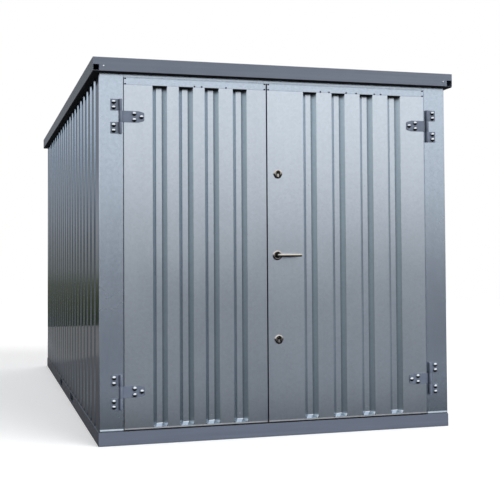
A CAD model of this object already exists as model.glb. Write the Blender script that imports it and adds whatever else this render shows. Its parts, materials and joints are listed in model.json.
import bpy
import json
from math import asin, atan2, cos, pi, radians, sin
from mathutils import Matrix, Vector


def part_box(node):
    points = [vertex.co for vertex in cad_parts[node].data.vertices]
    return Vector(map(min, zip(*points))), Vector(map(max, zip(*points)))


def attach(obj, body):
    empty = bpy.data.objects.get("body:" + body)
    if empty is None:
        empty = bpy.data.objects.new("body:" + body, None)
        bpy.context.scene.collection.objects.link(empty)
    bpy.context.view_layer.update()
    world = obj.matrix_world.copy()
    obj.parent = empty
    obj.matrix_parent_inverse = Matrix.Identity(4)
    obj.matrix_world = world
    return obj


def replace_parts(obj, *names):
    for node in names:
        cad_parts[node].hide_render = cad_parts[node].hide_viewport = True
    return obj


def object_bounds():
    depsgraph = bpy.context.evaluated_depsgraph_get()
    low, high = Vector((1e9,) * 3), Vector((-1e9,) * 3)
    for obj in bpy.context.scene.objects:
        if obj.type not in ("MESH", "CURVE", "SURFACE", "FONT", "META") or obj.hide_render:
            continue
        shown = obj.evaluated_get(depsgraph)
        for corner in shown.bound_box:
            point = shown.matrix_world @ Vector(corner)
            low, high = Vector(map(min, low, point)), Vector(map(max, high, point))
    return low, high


# Galvanised steel site cabin: finishes, fasteners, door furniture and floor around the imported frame.
# Metres, front facing -Y, origin on the ground at the centre of the body.

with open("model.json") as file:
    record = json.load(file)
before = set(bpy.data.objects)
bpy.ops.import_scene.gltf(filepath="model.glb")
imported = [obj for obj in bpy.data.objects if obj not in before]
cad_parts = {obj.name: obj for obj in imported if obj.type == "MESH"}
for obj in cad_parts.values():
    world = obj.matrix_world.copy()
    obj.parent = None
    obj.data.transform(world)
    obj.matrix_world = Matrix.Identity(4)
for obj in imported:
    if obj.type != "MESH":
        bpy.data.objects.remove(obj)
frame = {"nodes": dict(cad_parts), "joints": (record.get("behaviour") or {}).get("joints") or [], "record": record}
cad_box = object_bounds()
nodes = frame["nodes"]

MM = 0.001

# Camera at the photograph's place
camera_place = (-1.6946, -7.2698, 1.0573)
camera_yaw = 0.2774
camera_pitch = 0.0321
camera_roll = -0.006
camera_lens = 69.11
camera_shift_y = -0.0574

# Studio light
ambient_strength = 0.46
key_from = (0.55, -0.75, 0.45)
key_strength = 2.7
key_spread = radians(50)
fill_from = (0.60, 0.70, 0.45)
fill_strength = 0.9
fill_spread = radians(70)
white = (1, 1, 1, 1)
floor_pale = (0.80, 0.80, 0.80, 1)
floor_bounce = (0.12, 0.12, 0.12, 1)
floor_glow = 0.40
floor_half = 60.0
floor_fade = (4.0, 14.0)

# Ground and screens that only the gloss reflects
# The ground's colours go by distance from the cabin, the screens' colours by height
front_ground = (
    (0.0, (0.093, 0.098, 0.107)),
    (0.9, (0.116, 0.122, 0.134)),
    (1.7, (0.284, 0.297, 0.320)),
    (3.2, (0.284, 0.297, 0.320)),
    (4.8, (0.116, 0.122, 0.135)),
)
front_right_ground = (
    (0.0, (0.095, 0.098, 0.104)),
    (0.6, (0.140, 0.144, 0.152)),
    (1.8, (0.440, 0.450, 0.465)),
    (6.0, (0.480, 0.490, 0.505)),
    (9.0, (0.120, 0.124, 0.131)),
)
right_ground = (
    (0.0, (0.100, 0.102, 0.108)),
    (0.4, (0.240, 0.245, 0.255)),
    (1.2, (0.500, 0.510, 0.525)),
    (9.0, (0.520, 0.530, 0.545)),
    (12.0, (0.200, 0.206, 0.214)),
)
rear_ground = (
    (0.0, (0.070, 0.070, 0.074)),
    (0.3, (0.120, 0.118, 0.120)),
    (0.6, (0.160, 0.156, 0.150)),
)
left_rear_ground = (
    (0.0, (0.070, 0.070, 0.074)),
    (0.9, (0.140, 0.138, 0.138)),
    (1.8, (0.350, 0.356, 0.366)),
    (9.0, (0.360, 0.366, 0.376)),
    (11.0, (0.150, 0.152, 0.155)),
)
left_front_ground = (
    (0.0, (0.070, 0.070, 0.074)),
    (1.2, (0.120, 0.120, 0.124)),
    (2.2, (0.460, 0.470, 0.485)),
    (7.0, (0.480, 0.490, 0.505)),
    (9.0, (0.150, 0.146, 0.140)),
)
left_ground = (
    (0.0, (0.070, 0.070, 0.074)),
    (0.4, (0.118, 0.116, 0.118)),
    (0.9, (0.210, 0.206, 0.204)),
    (2.2, (0.210, 0.206, 0.204)),
    (3.4, (0.115, 0.110, 0.107)),
    (6.5, (0.150, 0.138, 0.126)),
)
# Each sector runs from its angle to the next one's
ground_sectors = (
    (radians(95), rear_ground),
    (radians(118), left_rear_ground),
    (radians(170), left_ground),
    (radians(224), left_front_ground),
    (radians(252), front_ground),
    (radians(302), front_right_ground),
    (radians(316), right_ground),
)
surround_radius = 25.0
surround_height = 2.0
surround_lift = 2 * MM
surround_steps = 96
back_colours = (
    (0.10, (0.028, 0.036, 0.025)),
    (0.36, (0.045, 0.053, 0.032)),
    (0.60, (0.075, 0.084, 0.060)),
    (0.82, (0.155, 0.167, 0.160)),
    (1.50, (0.254, 0.264, 0.282)),
    (1.96, (0.240, 0.256, 0.282)),
    (2.40, (0.192, 0.204, 0.226)),
    (5.00, (0.200, 0.215, 0.238)),
)
left_colours = (
    (0.00, (0.165, 0.166, 0.135)),
    (0.70, (0.105, 0.105, 0.103)),
    (1.40, (0.092, 0.093, 0.099)),
    (1.80, (0.115, 0.124, 0.135)),
    (2.36, (0.232, 0.256, 0.266)),
    (3.00, (0.440, 0.505, 0.555)),
    (3.60, (0.690, 0.765, 0.835)),
    (4.30, (0.800, 0.870, 0.930)),
)
right_colours = (
    (0.00, (0.090, 0.094, 0.100)),
    (1.00, (0.110, 0.115, 0.122)),
    (2.00, (0.190, 0.200, 0.214)),
    (3.40, (0.350, 0.370, 0.395)),
    (5.00, (0.560, 0.585, 0.615)),
    (7.00, (0.900, 0.920, 0.950)),
)
screen_behind = 4.8
screen_left = -14.0
screen_left_end = -22.0
screen_back_end = 1.0
screen_right = 14.0
screen_right_ends = (-15.0, 15.0)

# Colours of the finishes
wall_light = (0.580, 0.668, 0.778, 1)
wall_dark = (0.518, 0.600, 0.703, 1)
door_light = (0.690, 0.765, 0.855, 1)
door_dark = (0.625, 0.697, 0.781, 1)
right_leaf_light = (0.726, 0.805, 0.901, 1)
right_leaf_dark = (0.658, 0.734, 0.823, 1)
wall_flank = (0.92, 0.93, 0.94, 1)
door_flank = (0.90, 0.92, 0.89, 1)
flank_corner = (0.40, 0.40, 0.40, 1)
sill_light = (0.520, 0.550, 0.585, 1)
sill_dark = (0.450, 0.475, 0.510, 1)
crevice_shade = (0.50, 0.51, 0.52, 1)
slate_pale = (0.208, 0.243, 0.311, 1)
slate_colour = (0.150, 0.178, 0.235, 1)
slate_dark = (0.118, 0.142, 0.192, 1)
base_light = (0.172, 0.203, 0.268, 1)
base_dark = (0.136, 0.162, 0.219, 1)
hinge_light = (0.172, 0.208, 0.278, 1)
hinge_dark = (0.132, 0.162, 0.223, 1)
chrome_colour = (0.82, 0.87, 0.92, 1)
stainless_light = (0.80, 0.75, 0.69, 1)
stainless_dark = (0.66, 0.61, 0.55, 1)
lever_under = (0.040, 0.036, 0.034, 1)
lock_light = (0.800, 0.765, 0.725, 1)
lock_dark = (0.660, 0.630, 0.600, 1)
plug_light = (0.030, 0.029, 0.028, 1)
plug_dark = (0.020, 0.019, 0.018, 1)
timber_light = (0.36, 0.235, 0.135, 1)
timber_dark = (0.20, 0.125, 0.072, 1)
bolt_under = (0.018, 0.019, 0.021, 1)
foam_colour = (0.0035, 0.0035, 0.004, 1)
nylon_colour = (0.006, 0.006, 0.007, 1)

# Roughness of the finishes
wall_rough = 0.265
rib_rough = 0.16
door_rough = 0.29
sill_rough = 0.38
fold_rough = 0.14
slate_rough = 0.30
hinge_rough = 0.38
chrome_rough = 0.10
stainless_rough = 0.20
lock_rough = 0.25
plug_rough = 0.30
timber_rough = (0.45, 0.65)
foam_rough = 0.9
nylon_rough = 0.6

# Stretch of a pattern on X, Y and Z: runs in the paint, and fine marks in the steel
even = (1, 1, 1)
paint_along_x = (1.2, 60, 60)
paint_along_y = (60, 1.2, 60)
paint_evenly = (20, 20, 20)
marks_along_x = (0.2, 1, 1)
marks_along_z = (1, 1, 0.2)

# Fasteners
bolt_radius = 12.5 * MM
bolt_height = 11 * MM
bolt_skirt = 0.8 * MM
head_sink = 0.4 * MM
rivet_radius = 5 * MM
rivet_height = 2.4 * MM
rivet_skirt = 0.4 * MM
screw_radius = 8 * MM
screw_height = 4 * MM
screw_skirt = 1 * MM
round_steps = 32
small_steps = 16
bend_steps = 8
out_front = (0, -1, 0)
upward = (0, 0, 1)


# Node helpers

# Places of the mix node's colour sockets, which share their names with others
mix_factor, mix_first, mix_second, mix_result = 0, 6, 7, 2


def new_material(name):
    """A node material, its tree and its shader."""
    material = bpy.data.materials.new(name)
    material.use_nodes = True
    return material, material.node_tree, material.node_tree.nodes["Principled BSDF"]


def feed(tree, made, inputs):
    """Set a node's sockets from (socket, value or output) pairs."""
    for key, value in inputs:
        if isinstance(value, bpy.types.NodeSocket):
            tree.links.new(value, made.inputs[key])
        else:
            made.inputs[key].default_value = value


def add(tree, kind, inputs=(), **settings):
    """One node with its settings and inputs."""
    made = tree.nodes.new(kind)
    for key, value in settings.items():
        setattr(made, key, value)
    feed(tree, made, inputs)
    return made


def compute(tree, operation, *values):
    """One step of arithmetic on numbers."""
    return add(tree, "ShaderNodeMath", enumerate(values), operation=operation).outputs[0]


def compute_vector(tree, operation, *values):
    """The outputs of one step of arithmetic on vectors."""
    return add(tree, "ShaderNodeVectorMath", enumerate(values), operation=operation).outputs


def coordinate(tree, kind="Object"):
    """A point's place, or its facing, in the object's own frame."""
    return add(tree, "ShaderNodeTexCoord").outputs[kind]


def axes(tree, vector):
    """The X, Y and Z of a vector."""
    return add(tree, "ShaderNodeSeparateXYZ", [("Vector", vector)]).outputs


def stretched(tree, scale):
    """Object coordinates, stretched by a scale on each axis."""
    inputs = [("Vector", coordinate(tree)), ("Scale", scale)]
    return add(tree, "ShaderNodeMapping", inputs).outputs["Vector"]


def noise(tree, scale, detail, stretch=even):
    """Cloudy values between 0 and 1."""
    inputs = [("Vector", stretched(tree, stretch)), ("Scale", scale), ("Detail", detail)]
    return add(tree, "ShaderNodeTexNoise", inputs).outputs["Fac"]


def cells(tree, scale):
    """One flat value for each crystal of the zinc."""
    inputs = [("Vector", stretched(tree, even)), ("Scale", scale)]
    made = add(tree, "ShaderNodeTexVoronoi", inputs)
    return add(tree, "ShaderNodeSeparateColor", [("Color", made.outputs["Color"])]).outputs["Red"]


def between(tree, value, old, new=(0, 1)):
    """A value moved from an old range to a new one and held inside it."""
    sockets = ("Value", "From Min", "From Max", "To Min", "To Max")
    inputs = zip(sockets, (value, *old, *new))
    return add(tree, "ShaderNodeMapRange", inputs).outputs["Result"]


def blend_colours(tree, factor, first, second, how="MIX"):
    """Two colours mixed by a factor."""
    inputs = [(mix_factor, factor), (mix_first, first), (mix_second, second)]
    made = add(tree, "ShaderNodeMix", inputs, data_type="RGBA", blend_type=how)
    return made.outputs[mix_result]


def weighted(tree, values, shares):
    """A sum of values, each times its share."""
    total = 0.0
    for value, share in zip(values, shares):
        total = compute(tree, "MULTIPLY_ADD", value, share, total)
    return total


def bump(tree, height, depth):
    """A normal from a height between 0 and 1 over a depth."""
    return add(tree, "ShaderNodeBump", [("Height", height), ("Distance", depth)]).outputs["Normal"]


# Shading that several finishes share

flank_range = (0.1, 0.4)
occlusion_samples = 6
sheen_blend = 0.5
sheen_range = (0.55, 0.92)
sheen_low_share = 0.35
tone_range = (0.25, 0.75)
gloss_spread = 0.02


def flanks(tree):
    """1 on the slanted sides of upright ribs, 0 on flat sheet."""
    facing = axes(tree, coordinate(tree, "Normal"))
    both = compute(tree, "MULTIPLY", facing["X"], facing["Y"])
    return between(tree, compute(tree, "ABSOLUTE", both), flank_range)


def crevices(tree, reach, levels):
    """1 in corners and beside what is fixed to the surface, 0 in the open."""
    made = add(tree, "ShaderNodeAmbientOcclusion", [("Distance", reach)], samples=occlusion_samples)
    return between(tree, made.outputs["AO"], levels, (1, 0))


def sheen(tree, roughness):
    """Roughness of a surface that is glossier at a low angle, as rolled and painted steel is."""
    facing = add(tree, "ShaderNodeLayerWeight", [("Blend", sheen_blend)]).outputs["Facing"]
    share = between(tree, facing, sheen_range, (1, sheen_low_share))
    return compute(tree, "MULTIPLY", roughness, share)


# Galvanised sheet

crystal_scale = 75
zinc_cloud_scale = 3.0
zinc_cloud_detail = 4
run_detail = 3
run_stretch = (26, 26, 0.7)
crystal_cloud_run_shares = (0.32, 0.38, 0.30)
flank_corner_reach = 22 * MM
flank_corner_range = (0.76, 0.98)
zinc_gloss_range = (0.2, 0.8)
wave_scale = 2.6
wave_detail = 1
wave_stretch = (1, 1, 0.55)
wave_depth = 1.2 * MM


def zinc_material(name, light, dark, roughness, flank):
    """Hot-dip galvanised sheet: faint crystals, soft clouds, faint runs down the sheet, slight waves."""
    material, tree, shader = new_material(name)
    crystal = cells(tree, crystal_scale)
    cloud = noise(tree, zinc_cloud_scale, zinc_cloud_detail)
    run = noise(tree, 1.0, run_detail, run_stretch)
    tone = weighted(tree, (crystal, cloud, run), crystal_cloud_run_shares)
    zinc = blend_colours(tree, between(tree, tone, tone_range), dark, light)
    corner = crevices(tree, flank_corner_reach, flank_corner_range)
    shade = blend_colours(tree, corner, flank, flank_corner)
    zinc = blend_colours(tree, flanks(tree), zinc, shade, "MULTIPLY")
    around = (roughness - gloss_spread, roughness + gloss_spread)
    gloss = between(tree, cloud, zinc_gloss_range, around)
    waves = noise(tree, wave_scale, wave_detail, wave_stretch)
    feed(tree, shader, [
        ("Base Color", zinc),
        ("Roughness", sheen(tree, gloss)),
        ("Normal", bump(tree, waves, wave_depth)),
        ("Metallic", 1.0),
    ])
    return material


# Paint

paint_cloud_scale = 5.0
paint_cloud_detail = 4
brushed_detail = 3
cloud_brushed_shares = (0.35, 0.65)
crevice_reach = 14 * MM
crevice_range = (0.25, 0.95)
paint_gloss_range = (0.3, 0.7)
peel_scale = 260
peel_detail = 2
peel_depth = 0.03 * MM


def paint_material(name, light, dark, roughness, stretch):
    """Satin paint on steel: faint clouds, brushed runs along the length and a little orange peel."""
    material, tree, shader = new_material(name)
    cloud = noise(tree, paint_cloud_scale, paint_cloud_detail)
    brushed = noise(tree, 1.0, brushed_detail, stretch)
    tone = weighted(tree, (cloud, brushed), cloud_brushed_shares)
    paint = blend_colours(tree, between(tree, tone, tone_range), dark, light)
    corner = crevices(tree, crevice_reach, crevice_range)
    around = (roughness - gloss_spread, roughness + gloss_spread)
    gloss = between(tree, brushed, paint_gloss_range, around)
    feed(tree, shader, [
        ("Base Color", blend_colours(tree, corner, paint, crevice_shade, "MULTIPLY")),
        ("Roughness", sheen(tree, gloss)),
        ("Normal", bump(tree, noise(tree, peel_scale, peel_detail), peel_depth)),
    ])
    return material


# Plated and brushed steel

mark_scale = 90
steel_cloud_scale = 40
steel_detail = 3
mark_cloud_shares = (0.6, 0.4)
mark_range = (0.3, 0.7)
steel_gloss_below = 0.03
steel_gloss_above = 0.04
mark_depth = 0.02 * MM
bolt_under_range = (-0.25, 0.05)
lever_under_range = (-0.10, 0.20)


def steel_material(name, light, dark, roughness, stretch, under=None, under_range=None):
    """Plated or brushed steel with fine marks along one direction, and dirt below if a colour is given."""
    material, tree, shader = new_material(name)
    marks = noise(tree, mark_scale, steel_detail, stretch)
    steel = light
    if dark != light:
        cloud = noise(tree, steel_cloud_scale, steel_detail)
        tone = weighted(tree, (marks, cloud), mark_cloud_shares)
        steel = blend_colours(tree, between(tree, tone, mark_range), dark, light)
    if under:
        facing_up = axes(tree, coordinate(tree, "Normal"))["Z"]
        steel = blend_colours(tree, between(tree, facing_up, under_range, (1, 0)), steel, under)
    around = (roughness - steel_gloss_below, roughness + steel_gloss_above)
    feed(tree, shader, [
        ("Base Color", steel),
        ("Roughness", between(tree, marks, mark_range, around)),
        ("Normal", bump(tree, marks, mark_depth)),
        ("Metallic", 1.0),
    ])
    return material


# Timber, foam and plastic

timber_grain_stretch = (3.0, 60, 60)
timber_grain_detail = 5
timber_wear_scale = 2.4
timber_wear_detail = 4
grain_wear_shares = (0.6, 0.5)
timber_tone_range = (0.35, 0.75)
timber_wear_range = (0.3, 0.7)
timber_grain_depth = 0.25 * MM
foam_pore_scale = 700
nylon_pore_scale = 500
pore_detail = 3
pore_range = (0.35, 0.75)
pore_depth = 0.3 * MM
pore_paler = 2.2
pore_specular = 0.15


def timber_material():
    """Film-faced plywood: brown, with grain across the cabin and worn cloudy patches."""
    material, tree, shader = new_material("film_faced_ply")
    grain = noise(tree, 1.0, timber_grain_detail, timber_grain_stretch)
    wear = noise(tree, timber_wear_scale, timber_wear_detail)
    tone = weighted(tree, (grain, wear), grain_wear_shares)
    tone = between(tree, tone, timber_tone_range)
    feed(tree, shader, [
        ("Base Color", blend_colours(tree, tone, timber_dark, timber_light)),
        ("Roughness", between(tree, wear, timber_wear_range, timber_rough)),
        ("Normal", bump(tree, grain, timber_grain_depth)),
    ])
    return material


def soft_black_material(name, colour, roughness, scale):
    """Matt black foam or plastic with fine pores."""
    material, tree, shader = new_material(name)
    pores = noise(tree, scale, pore_detail)
    paler = tuple(channel * pore_paler for channel in colour[:3]) + (1,)
    feed(tree, shader, [
        ("Base Color", blend_colours(tree, between(tree, pores, pore_range), colour, paler)),
        ("Normal", bump(tree, pores, pore_depth)),
        ("Roughness", roughness),
        ("Specular IOR Level", pore_specular),
    ])
    return material


# The finishes

wall_zinc = zinc_material("galvanised_wall", wall_light, wall_dark, wall_rough, wall_flank)
rib_zinc = zinc_material("galvanised_ribs", wall_light, wall_dark, rib_rough, wall_flank)
door_zinc = zinc_material("galvanised_door", door_light, door_dark, door_rough, door_flank)
right_leaf_zinc = zinc_material(
    "galvanised_right_door", right_leaf_light, right_leaf_dark, door_rough, door_flank
)
sill_zinc = zinc_material("galvanised_sill", sill_light, sill_dark, sill_rough, wall_flank)
fold_zinc = zinc_material("galvanised_fold", door_light, door_dark, fold_rough, wall_flank)
slate_across = paint_material("slate_paint_across", slate_colour, slate_dark, slate_rough, paint_along_x)
slate_along = paint_material("slate_paint_along", slate_pale, slate_colour, slate_rough, paint_along_y)
slate_base = paint_material("slate_paint_base", base_light, base_dark, slate_rough, paint_along_x)
hinge_zinc = paint_material("hinge_plate", hinge_light, hinge_dark, hinge_rough, paint_evenly)
chrome = steel_material("bright_zinc", chrome_colour, chrome_colour, chrome_rough, even)
bolt_zinc = steel_material(
    "bolt_zinc", chrome_colour, chrome_colour, chrome_rough, even, bolt_under, bolt_under_range
)
stainless = steel_material(
    "warm_stainless", stainless_light, stainless_dark, stainless_rough, marks_along_x,
    lever_under, lever_under_range,
)
lock_steel = steel_material("lock_steel", lock_light, lock_dark, lock_rough, marks_along_z)
plug_steel = steel_material("plug_steel", plug_light, plug_dark, plug_rough, even)
timber = timber_material()
foam = soft_black_material("closed_cell_foam", foam_colour, foam_rough, foam_pore_scale)
black_nylon = soft_black_material("black_nylon", nylon_colour, nylon_rough, nylon_pore_scale)

slot_finish = {
    "galvanised_sheet": wall_zinc,
    "grey_paint": slate_across,
    "hinge_steel": hinge_zinc,
    "floor_timber": timber,
    "black_foam": foam,
    "handle_steel": stainless,
}


# Finish and edges of the CAD nodes

edge_rounds = {"grey_paint": 1.0 * MM, "hinge_steel": 0.8 * MM, "galvanised_sheet": 0.6 * MM}
edge_segments = 2
edge_angle = radians(40)
weld_distance = 0.01 * MM


def node_finish(node, slot):
    """The finish of a CAD node: its slot's, or one of its own for doors, ribs, sills and rails."""
    if "sill_bar" in node:
        return sill_zinc
    if "wall_sheet" in node:
        return rib_zinc
    if slot == "galvanised_sheet" and "_door_" in node and not node.endswith("head_cap"):
        return right_leaf_zinc if node.startswith("right") else door_zinc
    if slot == "grey_paint" and node.endswith(("_left", "_right")):
        return slate_along
    if slot == "grey_paint" and node.startswith("base"):
        return slate_base
    return slot_finish[slot]


def finish_nodes():
    """Give every CAD node its finish."""
    for entry in frame["record"]["subparts"]:
        materials = nodes[entry["node"]].data.materials
        materials.clear()
        materials.append(node_finish(entry["node"], entry["material_slot"]))


def join_group():
    """A modifier that joins the faces of a node at their edges and drops stored normals."""
    group = bpy.data.node_groups.new("join_faces", "GeometryNodeTree")
    group.interface.new_socket("Geometry", in_out="INPUT", socket_type="NodeSocketGeometry")
    group.interface.new_socket("Geometry", in_out="OUTPUT", socket_type="NodeSocketGeometry")
    start = group.nodes.new("NodeGroupInput").outputs[0]
    inputs = [("Geometry", start), ("Name", "custom_normal")]
    plain = add(group, "GeometryNodeRemoveAttribute", inputs).outputs[0]
    inputs = [("Geometry", plain), ("Distance", weld_distance)]
    weld = add(group, "GeometryNodeMergeByDistance", inputs).outputs[0]
    group.links.new(weld, group.nodes.new("NodeGroupOutput").inputs[0])
    return group


def soften_edges():
    """Folded and cut edges get a small round that catches the light."""
    group = join_group()
    for entry in frame["record"]["subparts"]:
        node, slot = entry["node"], entry["material_slot"]
        if slot not in edge_rounds or "sheet" in node or "roof" in node:
            continue
        obj = nodes[node]
        obj.modifiers.new("join", "NODES").node_group = group
        edge = obj.modifiers.new("edge", "BEVEL")
        edge.width = edge_rounds[slot]
        edge.segments = edge_segments
        edge.limit_method = "ANGLE"
        edge.angle_limit = edge_angle


# Mesh helpers

sharp_angle = radians(35)
dome_foot_share = 0.5
dome_tip_share = 0.03
dome_steps = 9


def new_object(name, data):
    """An object in the scene."""
    obj = bpy.data.objects.new(name, data)
    bpy.context.scene.collection.objects.link(obj)
    return obj


class Shape:
    """Corners and faces of one piece, gathered from several forms."""

    def __init__(self):
        self.points = []
        self.faces = []
        self.smooth = []

    def ring_stack(self, rings, smooth=True, loop=False):
        """Skin a list of closed rings, and close both ends or join the last ring to the first."""
        start = len(self.points)
        count = len(rings[0])
        for ring in rings:
            self.points.extend(Vector(point) for point in ring)
        levels = len(rings) if loop else len(rings) - 1
        for level in range(levels):
            low = start + level * count
            high = start + (level + 1) % len(rings) * count
            for step in range(count):
                following = (step + 1) % count
                self.faces.append((low + step, low + following, high + following, high + step))
                self.smooth.append(smooth)
        if not loop:
            last = start + (len(rings) - 1) * count
            self.faces.append(tuple(start + step for step in reversed(range(count))))
            self.faces.append(tuple(last + step for step in range(count)))
            self.smooth.extend((False, False))

    def lathe(self, profile, centre, axis, steps=round_steps, loop=False):
        """Turn (radius, height) points about an axis through a centre; a loop leaves a bore."""
        turn = Vector(upward).rotation_difference(Vector(axis)).to_matrix()
        rings = []
        for radius, height in profile:
            ring = []
            for step in range(steps):
                angle = 2 * pi * step / steps
                local = Vector((radius * cos(angle), radius * sin(angle), height))
                ring.append(Vector(centre) + turn @ local)
            rings.append(ring)
        self.ring_stack(rings, True, loop)

    def slab(self, outline, lift):
        """A flat outline of points, thickened by a vector."""
        points = [Vector(point) for point in outline]
        self.ring_stack([points, [point + Vector(lift) for point in points]], False)

    def piece(self, name, material, body, slot):
        """Make the object, and let it ride on a body."""
        mesh = bpy.data.meshes.new(name)
        mesh.from_pydata(self.points, [], self.faces)
        mesh.polygons.foreach_set("use_smooth", self.smooth)
        mesh.set_sharp_from_angle(angle=sharp_angle)
        mesh.materials.append(material)
        obj = new_object(name, mesh)
        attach(obj, body)
        return obj


def dome_profile(radius, height, skirt):
    """Half outline of a round head: sunk foot, short skirt, then a dome."""
    points = [(radius * dome_foot_share, -head_sink), (radius, -head_sink), (radius, skirt)]
    for step in range(1, dome_steps):
        angle = pi / 2 * step / dome_steps
        points.append((radius * cos(angle), skirt + (height - skirt) * sin(angle)))
    points.append((radius * dome_tip_share, height))
    return points


def scaled(shares, radius, height):
    """Outline points from shares of a radius and a height."""
    return [(out * radius, up * height) for out, up in shares]


def node_corners(node):
    """The corners of a CAD node."""
    obj = nodes[node]
    return [obj.matrix_world @ vertex.co for vertex in obj.data.vertices]


rivet_profile = dome_profile(rivet_radius, rivet_height, rivet_skirt)


# Hinge bolts

front_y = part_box("left_door_sheet")[0].y
strap_low, strap_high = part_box("left_hinge_straps")
hinge_plate = 5 * MM
hinge_plate_y = front_y - hinge_plate
joint_place = {joint["name"]: joint["pos_m"] for joint in frame["joints"]}
hinge_x = joint_place["right_door_hinge"][0]
strap_half = 31.75 * MM
hinge_heights = (strap_low.z + strap_half, strap_high.z - strap_half)
jamb_bolt_out = 37 * MM
jamb_bolt_rises = (-80 * MM, -49 * MM, 49 * MM, 80 * MM)
strap_bolt_spots = ((-77 * MM, 17 * MM), (-77 * MM, -17 * MM), (-117 * MM, 0.0))


def make_hinge_bolts():
    """Round-headed bolts on the jamb plates and on the straps."""
    profile = dome_profile(bolt_radius, bolt_height, bolt_skirt)
    jamb = Shape()
    for sign in (-1, 1):
        for height in hinge_heights:
            for rise in jamb_bolt_rises:
                place = (sign * (hinge_x + jamb_bolt_out), hinge_plate_y, height + rise)
                jamb.lathe(profile, place, out_front)
    jamb.piece("jamb_hinge_bolts", bolt_zinc, "cabin", "handle_steel")
    for name, sign in (("left", -1), ("right", 1)):
        strap = Shape()
        for height in hinge_heights:
            for along, rise in strap_bolt_spots:
                place = (sign * (hinge_x + along), hinge_plate_y, height + rise)
                strap.lathe(profile, place, out_front)
        strap.piece(f"{name}_strap_bolts", bolt_zinc, f"{name}_door", "handle_steel")


# Lever handle

lever_low, lever_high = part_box("lever_handle")
handle_x, _, handle_z = joint_place["lever_turn"]
leaf_back_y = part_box("right_door_stiles")[1].y
leaf_faces = ((front_y, -1), (leaf_back_y, 1))
rose_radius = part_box("handle_roses")[1].z - handle_z
rose_thickness = front_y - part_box("handle_roses")[0].y
neck_radius = 8.6 * MM
lever_root_radius = 9.9 * MM
lever_tip_radius = 9.2 * MM
lever_end = 3.0 * MM
lever_elbow = 15 * MM
bush_bore = 9.3 * MM
bush_radius = 15.2 * MM
rose_rim_shares = ((0.98, 0), (1, 0.07), (1, 0.68), (0.96, 0.90), (0.90, 1))
bush_seat_shares = ((1.06, 1), (1, 0.93), (1, 0.45))
bush_shares = ((0.99, 0.44), (0.99, 0.62), (0.93, 0.70))


def lever_path(face_y, out):
    """Places and section radii along a lever, from its rose round the elbow to the rounded tip."""
    reach = min(front_y - lever_low.y, lever_high.y - leaf_back_y) - lever_root_radius
    neck_y = face_y + out * (reach - lever_elbow)
    arm_y = face_y + out * reach
    tip_x = lever_high.x - lever_end
    stops = [((handle_x, face_y), neck_radius), ((handle_x, neck_y), neck_radius)]
    for step in range(1, bend_steps + 1):
        angle = pi / 2 * step / bend_steps
        x = handle_x + lever_elbow * (1 - cos(angle))
        y = face_y + out * (reach - lever_elbow * (1 - sin(angle)))
        radius = neck_radius + (lever_root_radius - neck_radius) * step / bend_steps
        stops.append(((x, y), radius))
    stops.append(((tip_x, arm_y), lever_tip_radius))
    for step in range(1, bend_steps + 1):
        angle = pi / 2 * step / bend_steps
        place = (tip_x + lever_end * sin(angle), arm_y)
        stops.append((place, lever_tip_radius - lever_end * (1 - cos(angle))))
    return stops


def make_lever():
    """A round bar bent into a lever, one outside and one inside."""
    shape = Shape()
    up = Vector(upward)
    for face_y, out in leaf_faces:
        stops = lever_path(face_y, out)
        places = [Vector((x, y, handle_z)) for (x, y), _ in stops]
        rings = []
        for index, (_, radius) in enumerate(stops):
            before = places[max(index - 1, 0)]
            after = places[min(index + 1, len(places) - 1)]
            side = (after - before).normalized().cross(up)
            ring = []
            for step in range(round_steps):
                angle = 2 * pi * step / round_steps
                ring.append(places[index] + radius * (cos(angle) * side + sin(angle) * up))
            rings.append(ring)
        shape.ring_stack(rings)
    lever = shape.piece("bent_lever", stainless, "lever", "handle_steel")
    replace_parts(lever, "lever_handle")


def make_roses():
    """Round roses with a recess for the black bush that the lever's neck turns in."""
    rim = scaled(rose_rim_shares, rose_radius, rose_thickness)
    seat = scaled(bush_seat_shares, bush_radius, rose_thickness)
    rose_profile = [(bush_bore, 0)] + rim + seat + [(bush_bore, seat[-1][1])]
    bush = scaled(bush_shares, bush_radius, rose_thickness)
    bush_profile = [(bush_bore, bush[0][1])] + bush + [(bush_bore, bush[-1][1])]
    roses, bushes = Shape(), Shape()
    for face_y, out in leaf_faces:
        roses.lathe(rose_profile, (handle_x, face_y, handle_z), (0, out, 0), loop=True)
        bushes.lathe(bush_profile, (handle_x, face_y, handle_z), (0, out, 0), loop=True)
    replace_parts(roses.piece("lever_roses", stainless, "right_door", "handle_steel"), "handle_roses")
    bushes.piece("lever_bushes", black_nylon, "right_door", "black_foam")


# Lock cylinders

lock_low, lock_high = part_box("lock_cylinders")
rosette_radius = (lock_high.x - lock_low.x) / 2
rosette_thickness = 8 * MM
lock_x = (lock_low.x + lock_high.x) / 2
lock_heights = (lock_low.z + rosette_radius, lock_high.z - rosette_radius)
barrel_radius = 8.5 * MM
barrel_half_height = 16.5 * MM
barrel_half_tail = 5 * MM
barrel_head_z = barrel_half_height - barrel_radius
barrel_head_steps = 20
barrel_tail_steps = 10
barrel_gap = 4.2 * MM
plug_radius = 8 * MM
keyway_width = 2.2 * MM
keyway_height = 9 * MM
rosette_rim_shares = ((0.97, 0), (1, 0.08), (1, 0.66), (0.97, 0.88), (0.90, 1))
cut_out_level_shares = (1, 0.25)
recess_gap_share = 0.95
recess_level_shares = (0.2, 0.27)
barrel_shares = ((0, 0.22), (0, 0.78), (-0.06, 0.84))
plug_shares = ((1, 0.8), (1, 0.9), (0.92, 0.94))
keyway_level_shares = (0.9, 0.955)


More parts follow.
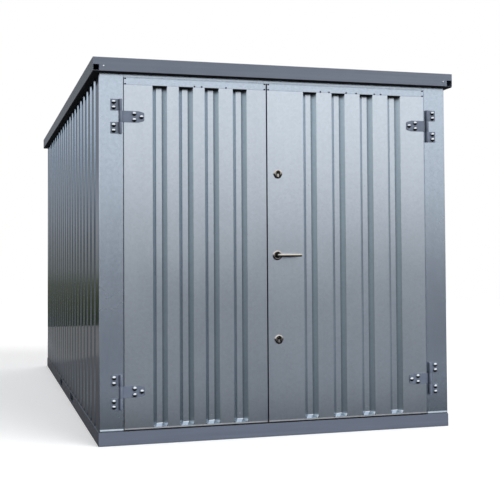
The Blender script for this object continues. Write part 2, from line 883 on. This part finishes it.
def barrel_outline(grow):
    """A profile cylinder's outline: a round head over a narrow round-ended tail, grown by a margin."""
    head = barrel_radius + grow
    tail = barrel_half_tail + grow
    foot_z = tail - barrel_half_height - grow
    notch = asin(tail / head)
    points = []
    for step in range(barrel_head_steps + 1):
        angle = notch - pi / 2 + 2 * (pi - notch) * step / barrel_head_steps
        points.append((head * cos(angle), barrel_head_z + head * sin(angle)))
    for step in range(barrel_tail_steps + 1):
        angle = pi + pi * step / barrel_tail_steps
        points.append((tail * cos(angle), foot_z + tail * sin(angle)))
    return points


def keyway_outline():
    """The keyway's upright slot in the plug."""
    half_x, half_z = keyway_width / 2, keyway_height / 2
    low, high = barrel_head_z - half_z, barrel_head_z + half_z
    return [(-half_x, low), (half_x, low), (half_x, high), (-half_x, high)]


def at_levels(outline, shares):
    """One outline at several shares of the rosette's thickness."""
    return [(outline, share * rosette_thickness) for share in shares]


def rosette_form():
    """Outlines and heights of a rosette, from its round rim to the floor of its cut-out."""
    cut_out = barrel_outline(barrel_gap)
    angles = [atan2(z, x) for x, z in cut_out]
    form = []
    for radius, height in scaled(rosette_rim_shares, rosette_radius, rosette_thickness):
        form.append(([(radius * cos(angle), radius * sin(angle)) for angle in angles], height))
    return form + at_levels(cut_out, cut_out_level_shares)


def lock_ring(points, height, face_y, out, lock_z):
    """A flat outline at a height off a leaf's face, counted the same way round on both faces."""
    return [(lock_x + out * x, face_y + out * height, lock_z + z) for x, z in reversed(points)]


def make_locks():
    """Rosettes with a cut-out, and in it the cylinder, its plug and the keyway, on both faces."""
    rosettes, barrels, plugs, dark = Shape(), Shape(), Shape(), Shape()
    recess = at_levels(barrel_outline(recess_gap_share * barrel_gap), recess_level_shares)
    barrel = scaled(barrel_shares, barrel_radius, rosette_thickness)
    barrel = [(barrel_outline(grow), height) for grow, height in barrel]
    plug = scaled(plug_shares, plug_radius, rosette_thickness)
    keyway = at_levels(keyway_outline(), keyway_level_shares)
    forms = (
        (rosettes, rosette_form(), True),
        (dark, recess, True),
        (barrels, barrel, True),
        (dark, keyway, False),
    )
    for face_y, out in leaf_faces:
        for lock_z in lock_heights:
            for shape, form, smooth in forms:
                rings = [lock_ring(points, height, face_y, out, lock_z) for points, height in form]
                shape.ring_stack(rings, smooth)
            plugs.lathe(plug, (lock_x, face_y, lock_z + barrel_head_z), (0, out, 0))
    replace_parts(rosettes.piece("lock_rosettes", stainless, "right_door", "handle_steel"), "lock_cylinders")
    barrels.piece("lock_barrels", lock_steel, "right_door", "handle_steel")
    plugs.piece("lock_plugs", plug_steel, "right_door", "handle_steel")
    dark.piece("lock_keyways", black_nylon, "right_door", "black_foam")


# Rivets and plugs of the head caps

cap_face_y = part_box("left_door_head_cap")[0].y
cap_rivet_rise = 4 * MM
left_rivets = (-510 * MM, -468 * MM, -326 * MM)
right_rivets = (248 * MM, 302 * MM, 410 * MM, 474 * MM, 590 * MM, 632 * MM)
end_plug_width = 10 * MM
end_plug_height = 7 * MM
end_plug_inset = 2 * MM
end_plug_rises = (4 * MM, 34 * MM)
end_plug_proud = 0.6 * MM


def make_cap_fasteners():
    """Blind rivets along the head caps, and the dark plugs in the caps' ends."""
    y = cap_face_y + head_sink
    proud = (0, -head_sink - end_plug_proud, 0)
    for name, places in (("left", left_rivets), ("right", right_rivets)):
        low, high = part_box(f"{name}_door_head_cap")
        rivets = Shape()
        for x in places:
            rivets.lathe(rivet_profile, (x, cap_face_y, low.z + cap_rivet_rise), out_front, small_steps)
        rivets.piece(f"{name}_cap_rivets", black_nylon, f"{name}_door", "black_foam")
        plugs = Shape()
        for x0 in (low.x + end_plug_inset, high.x - end_plug_inset - end_plug_width):
            x1 = x0 + end_plug_width
            for rise in end_plug_rises:
                z0 = low.z + rise - end_plug_height / 2
                z1 = z0 + end_plug_height
                plugs.slab([(x0, y, z0), (x1, y, z0), (x1, y, z1), (x0, y, z1)], proud)
        plugs.piece(f"{name}_cap_plugs", black_nylon, f"{name}_door", "black_foam")


# Foam, feet and rivets of the door ribs

foam_drop = 7 * MM
rib_apart = 50 * MM
foot_rises = (9 * MM, 16 * MM, 18 * MM, 17 * MM)
foot_leg = 7 * MM
foot_shifts = ((foot_leg, 0), (foot_leg, -foot_leg), (-foot_leg, -foot_leg), (-foot_leg, 0))
ledge_plate = 0.6 * MM
ledge_rise = 13.4 * MM
ledge_rises = (ledge_plate, ledge_rise, ledge_rise, ledge_plate)
leaf_sheet = 1.2 * MM
rib_rivet_radius = 2.6 * MM
rib_rivet_height = 1.4 * MM
rib_rivet_low = 136 * MM
rib_rivet_high = 1450 * MM
high_rivet_every = 2


def rib_plans(name):
    """How low a leaf's foam fillers reach, and its ribs' plans there, front left round to front right."""
    corners = node_corners(f"{name}_door_rib_fillers")
    low = min(corner.z for corner in corners)
    corners = sorted((c for c in corners if c.z < low + MM), key=lambda corner: corner.x)
    ribs = [[corners[0]]]
    for corner in corners[1:]:
        if corner.x - ribs[-1][-1].x > rib_apart:
            ribs.append([])
        ribs[-1].append(corner)
    plans = []
    for rib in ribs:
        back = max(corner.y for corner in rib)
        floor = [corner.x for corner in rib if corner.y > back - MM]
        plans.append([rib[0].xy, (min(floor), back), (max(floor), back), rib[-1].xy])
    return low, plans


def add_foot(feet, plan, sill_top):
    """The folded foot of a rib over the sill, and the ledge in it."""
    rings = []
    for (x, y), (dx, dy), rise in zip(plan, foot_shifts, foot_rises):
        rings.append([(x, y, sill_top), (x, y, sill_top + rise), (x + dx, y + dy, sill_top)])
    feet.ring_stack(rings, False)
    ledge = [(x, y, sill_top + rise) for (x, y), rise in zip(plan, ledge_rises)]
    feet.slab(ledge, (0, 0, -ledge_plate))


def make_rib_details():
    """Foam under the head caps, folded feet over the sill, and small rivets on the rib floors."""
    profile = dome_profile(rib_rivet_radius, rib_rivet_height, rivet_skirt)
    for name in ("left", "right"):
        door = f"{name}_door"
        low, plans = rib_plans(name)
        sheet_low, sheet_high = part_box(f"{name}_door_sheet")
        floor_y = sheet_high.y - leaf_sheet
        foam_strips, feet, rivets = Shape(), Shape(), Shape()
        for index, plan in enumerate(plans):
            foam_strips.slab([(x, y, low) for x, y in plan], (0, 0, -foam_drop))
            add_foot(feet, plan, sheet_low.z)
            middle = (plan[1][0] + plan[2][0]) / 2
            rivets.lathe(profile, (middle, floor_y, rib_rivet_low), out_front, small_steps)
            if index % high_rivet_every == 0:
                rivets.lathe(profile, (middle, floor_y, rib_rivet_high), out_front, small_steps)
        foam_strips.piece(f"{name}_rib_foam", foam, door, "black_foam")
        feet.piece(f"{name}_rib_feet", fold_zinc, door, "galvanised_sheet")
        rivets.piece(f"{name}_rib_rivets", chrome, door, "handle_steel")


# Fixings of the fascia and the roof

fascia_low, fascia_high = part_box("fascia_front")
fascia_rivet_inset = 59 * MM
fascia_rivet_rise = 27 * MM
roof_low, roof_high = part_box("roof_sheet_left")
roof_sheets = 2
roof_ribs = 5
roof_rows = 7


def make_roof_fixings():
    """Rivets near the front fascia's corners, and screws along the crests of the roof ribs."""
    rivets = Shape()
    rivet_z = fascia_low.z + fascia_rivet_rise
    for x in (fascia_low.x + fascia_rivet_inset, fascia_high.x - fascia_rivet_inset):
        rivets.lathe(rivet_profile, (x, fascia_low.y, rivet_z), out_front, small_steps)
    rivets.piece("fascia_rivets", chrome, "cabin", "handle_steel")
    profile = dome_profile(screw_radius, screw_height, screw_skirt)
    screws = Shape()
    pitch = (roof_high.x - roof_low.x) / roof_ribs
    spread = (roof_high.y - roof_low.y) / roof_rows
    for rib in range(roof_sheets * roof_ribs):
        for row in range(roof_rows):
            place = (roof_low.x + pitch * (rib + 0.5), roof_low.y + spread * (row + 0.5), roof_high.z)
            screws.lathe(profile, place, upward, small_steps)
    screws.piece("roof_screws", hinge_zinc, "cabin", "hinge_steel")


# Folded lips in the door gaps and the foam under the eaves

opening_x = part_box("door_lintel")[1].x
lintel_low_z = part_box("door_lintel")[0].z
leaf_low, leaf_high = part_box("left_door_sheet")
leaf_end_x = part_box("right_door_sheet")[1].x
lip_back = 3 * MM
lip_depth = 12 * MM
post_lips = ((-1, 1.2 * MM), (1, 3 * MM))
lintel_lip = 3.8 * MM
meeting_lip = 2 * MM
eaves_foam = 6 * MM
eaves_inset = 2 * MM
wall_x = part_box("front_right_post")[1].x
wall_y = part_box("rear_right_post")[1].y


def add_lip(shape, x0, x1, z0, z1):
    """A flat lip that stands in a door gap, just behind the front of the leaves."""
    y = front_y + lip_back
    shape.slab([(x0, y, z1), (x1, y, z1), (x1, y, z0), (x0, y, z0)], (0, lip_depth, 0))


def make_gap_lips():
    """Narrow folded lips that stand in the gaps around the leaves and where they meet."""
    frame_lips = Shape()
    for sign, wide in post_lips:
        x0, x1 = sorted((sign * opening_x, sign * (opening_x - wide)))
        add_lip(frame_lips, x0, x1, leaf_low.z, lintel_low_z)
    add_lip(frame_lips, -leaf_end_x, leaf_end_x, lintel_low_z - lintel_lip, lintel_low_z)
    frame_lips.piece("door_frame_lips", wall_zinc, "cabin", "galvanised_sheet")
    leaf_lip = Shape()
    add_lip(leaf_lip, leaf_high.x, leaf_high.x + meeting_lip, leaf_low.z, leaf_high.z)
    leaf_lip.piece("meeting_lip", door_zinc, "left_door", "galvanised_sheet")


def make_eaves_foam():
    """A flat black foam strip under the fascia, all round the body."""
    low, high = fascia_low.z - eaves_foam, fascia_low.z
    outer_x, outer_y = fascia_high.x - eaves_inset, -fascia_low.y - eaves_inset
    section = (
        (wall_x, wall_y, high),
        (outer_x, outer_y, high),
        (outer_x, outer_y, low),
        (wall_x, wall_y, low),
    )
    rings = [[(-x, -y, z), (x, -y, z), (x, y, z), (-x, y, z)] for x, y, z in section]
    strip = Shape()
    strip.ring_stack(rings, False, True)
    strip.piece("eaves_foam", foam, "cabin", "black_foam")


# Floor panels

deck_low, deck_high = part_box("floor_deck")
deck_corners = node_corners("floor_deck")
deck_half = deck_high.x
deck_main_y = max(corner.y for corner in deck_corners if corner.x > deck_half - MM)
front_tongue = max(corner.x for corner in deck_corners if corner.y < deck_low.y + MM)
rear_tongue = max(corner.x for corner in deck_corners if corner.y > deck_high.y - MM)
panel_joint = 2 * MM
panels = 3
floor_screw_inset = 40 * MM
floor_screws_across = 6
floor_screw_height = 0.6 * MM
floor_screw_skirt = 0.2 * MM


def panel_outline(index, y0, y1):
    """A panel's plan; the first and last panels reach between the posts with a tongue."""
    front = [(-deck_half, y0), (deck_half, y0)]
    rear = [(deck_half, y1), (-deck_half, y1)]
    if index == 0:
        x, end = front_tongue, deck_low.y
        front[1:1] = [(-x, y0), (-x, end), (x, end), (x, y0)]
    if index == panels - 1:
        x, end = rear_tongue, deck_high.y
        rear[1:1] = [(x, y1), (x, end), (-x, end), (-x, y1)]
    return front + rear


def make_floor_panels():
    """Plywood panels laid across the cabin, screwed down, in place of one plain deck."""
    boards, screws = Shape(), Shape()
    profile = dome_profile(rivet_radius, floor_screw_height, floor_screw_skirt)
    pitch = 2 * deck_main_y / panels
    thickness = (0, 0, deck_high.z - deck_low.z)
    for index in range(panels):
        y0 = -deck_main_y + pitch * index + panel_joint / 2
        y1 = y0 + pitch - panel_joint
        boards.slab([(x, y, deck_low.z) for x, y in panel_outline(index, y0, y1)], thickness)
        for y in (y0 + floor_screw_inset, (y0 + y1) / 2, y1 - floor_screw_inset):
            for place in range(floor_screws_across):
                x = (deck_half - floor_screw_inset) * (2 * place / (floor_screws_across - 1) - 1)
                screws.lathe(profile, (x, y, deck_high.z), upward, small_steps)
    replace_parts(boards.piece("floor_panels", timber, "cabin", "floor_timber"), "floor_deck")
    screws.piece("floor_screws", hinge_zinc, "cabin", "hinge_steel")


# Stage

def make_camera():
    """The camera of the photograph."""
    data = bpy.data.cameras.new("camera")
    data.lens = camera_lens
    data.shift_y = camera_shift_y
    camera = new_object("camera", data)
    flat = cos(camera_pitch)
    ahead = Vector((sin(camera_yaw) * flat, cos(camera_yaw) * flat, sin(camera_pitch)))
    right = Vector((cos(camera_yaw), -sin(camera_yaw), 0))
    up = right.cross(ahead)
    level = right * cos(camera_roll) + up * sin(camera_roll)
    top = up * cos(camera_roll) - right * sin(camera_roll)
    turn = Matrix((level, top, -ahead)).transposed().to_4x4()
    camera.matrix_world = Matrix.Translation(camera_place) @ turn
    bpy.context.scene.camera = camera


def seen_rays(tree):
    """1 for rays from the camera, from gloss and through glass, else 0."""
    path = add(tree, "ShaderNodeLightPath").outputs
    seen = compute(tree, "MAXIMUM", path["Is Camera Ray"], path["Is Glossy Ray"])
    return compute(tree, "MAXIMUM", seen, path["Is Transmission Ray"])


def make_world():
    """White backdrop, with a plain soft level of light from all round."""
    world = bpy.data.worlds.new("studio")
    bpy.context.scene.world = world
    world.use_nodes = True
    world.cycles.sampling_method = "NONE"
    tree = world.node_tree
    level = between(tree, seen_rays(tree), (0, 1), (ambient_strength, 1))
    feed(tree, tree.nodes["Background"], [("Color", white), ("Strength", level)])


def make_sun(name, towards, strength, spread):
    """A broad soft light from one direction."""
    data = bpy.data.lights.new(name, "SUN")
    data.energy = strength
    data.angle = spread
    lamp = new_object(name, data)
    lamp.rotation_euler = Vector(towards).to_track_quat("Z", "Y").to_euler()
    lamp.visible_glossy = False


def stage_mesh(name, points, faces, material):
    """A stage object, not part of the cabin."""
    mesh = bpy.data.meshes.new(name)
    mesh.from_pydata(points, [], faces)
    mesh.materials.append(material)
    obj = new_object(name, mesh)
    return obj


def show(material, shader):
    """Put a shader on a material's surface."""
    tree = material.node_tree
    tree.links.new(shader.outputs[0], tree.nodes["Material Output"].inputs["Surface"])


def make_floor():
    """Pale floor that takes the soft shadow near the cabin and runs out into the white backdrop."""
    material, tree, shader = new_material("pale_floor")
    tree.nodes.remove(shader)
    far = compute_vector(tree, "LENGTH", coordinate(tree))["Value"]
    fade = between(tree, far, floor_fade)
    seen = seen_rays(tree)
    shade = blend_colours(tree, seen, floor_bounce, floor_pale)
    matt = add(tree, "ShaderNodeBsdfDiffuse", [("Color", shade)]).outputs[0]
    lift = compute(tree, "MULTIPLY", seen, floor_glow)
    lift = add(tree, "ShaderNodeEmission", [("Strength", lift)]).outputs[0]
    near = add(tree, "ShaderNodeAddShader", [(0, matt), (1, lift)]).outputs[0]
    backdrop = add(tree, "ShaderNodeEmission", [("Strength", seen)]).outputs[0]
    show(material, add(tree, "ShaderNodeMixShader", [(0, fade), (1, near), (2, backdrop)]))
    corners = [(x * floor_half, y * floor_half, 0) for x, y in ((-1, -1), (1, -1), (1, 1), (-1, 1))]
    stage_mesh("floor", corners, [(0, 1, 2, 3)], material)


def flag_material(name):
    """A plain glow that lights nothing around it, with its tree and the socket of its colour."""
    material, tree, shader = new_material(name)
    tree.nodes.remove(shader)
    glow = add(tree, "ShaderNodeEmission", [("Strength", 1.0)])
    show(material, glow)
    material.cycles.emission_sampling = "NONE"
    return material, tree, glow.inputs["Color"]


def graded(tree, value, colours):
    """A colour that goes by a value, from a list of (value, colour) pairs."""
    top = colours[-1][0]
    ramp = add(tree, "ShaderNodeValToRGB", [("Fac", between(tree, value, (0, top)))])
    stops = ramp.color_ramp.elements
    while len(stops) < len(colours):
        stops.new(1.0)
    for stop, (level, shade) in zip(stops, colours):
        stop.position = level / top
        stop.color = (*shade, 1)
    return ramp.outputs["Color"]


def ground_material(name, colours):
    """Ground whose colour goes by the distance from the cabin."""
    material, tree, colour = flag_material(name)
    away = compute_vector(tree, "ABSOLUTE", coordinate(tree))["Vector"]
    away = compute_vector(tree, "SUBTRACT", away, tuple(cad_box[1]))["Vector"]
    away = axes(tree, away)
    farther = compute(tree, "MAXIMUM", away["X"], away["Y"])
    tree.links.new(graded(tree, farther, colours), colour)
    return material


def screen_material(name, colours):
    """A screen whose colour goes by height."""
    material, tree, colour = flag_material(name)
    height = axes(tree, coordinate(tree))["Z"]
    tree.links.new(graded(tree, height, colours), colour)
    return material


def only_reflected(flag):
    """Hide a stage object from all but the gloss of the metal."""
    for ray in ("camera", "diffuse", "transmission", "volume_scatter", "shadow"):
        setattr(flag, f"visible_{ray}", False)


def make_surround():
    """Ground in sectors and a low skyline, as the metal would show them out of doors."""
    points = [(0, 0, surround_lift)]
    faces = []
    finish = []
    for step in range(surround_steps):
        angle = 2 * pi * step / surround_steps
        x, y = surround_radius * cos(angle), surround_radius * sin(angle)
        points += [(x, y, surround_lift), (x, y, surround_height)]
        low, high = 1 + 2 * step, 2 + 2 * step
        next_low = 1 + 2 * ((step + 1) % surround_steps)
        faces += [(0, low, next_low), (low, next_low, next_low + 1, high)]
        sector = sum(angle > start for start, _ in ground_sectors) - 1
        finish += [sector % len(ground_sectors)] * 2
    flag = stage_mesh("dark_flag", points, faces, ground_material("flag_0", ground_sectors[0][1]))
    for index, (_, colours) in enumerate(ground_sectors[1:], 1):
        flag.data.materials.append(ground_material(f"flag_{index}", colours))
    flag.data.polygons.foreach_set("material_index", finish)
    only_reflected(flag)


def make_screens():
    """Screens behind and beside the cabin, which the walls and the flanks of the ribs reflect."""
    back = cad_box[1].y + screen_behind
    corner = (screen_left, back)
    near, far = screen_right_ends
    runs = (
        ("back_screen", (screen_back_end, back), corner, back_colours),
        ("left_screen", corner, (screen_left, screen_left_end), left_colours),
        ("right_screen", (screen_right, near), (screen_right, far), right_colours),
    )
    for name, (x0, y0), (x1, y1), colours in runs:
        top = colours[-1][0]
        points = [(x0, y0, 0), (x1, y1, 0), (x1, y1, top), (x0, y0, top)]
        only_reflected(stage_mesh(name, points, [(0, 1, 2, 3)], screen_material(name, colours)))


finish_nodes()
soften_edges()
make_hinge_bolts()
make_lever()
make_roses()
make_locks()
make_cap_fasteners()
make_rib_details()
make_roof_fixings()
make_gap_lips()
make_eaves_foam()
make_floor_panels()
make_camera()
make_world()
make_sun("key", key_from, key_strength, key_spread)
make_sun("fill", fill_from, fill_strength, fill_spread)
make_floor()
make_surround()
make_screens()
bpy.context.scene.view_settings.view_transform = "Standard"
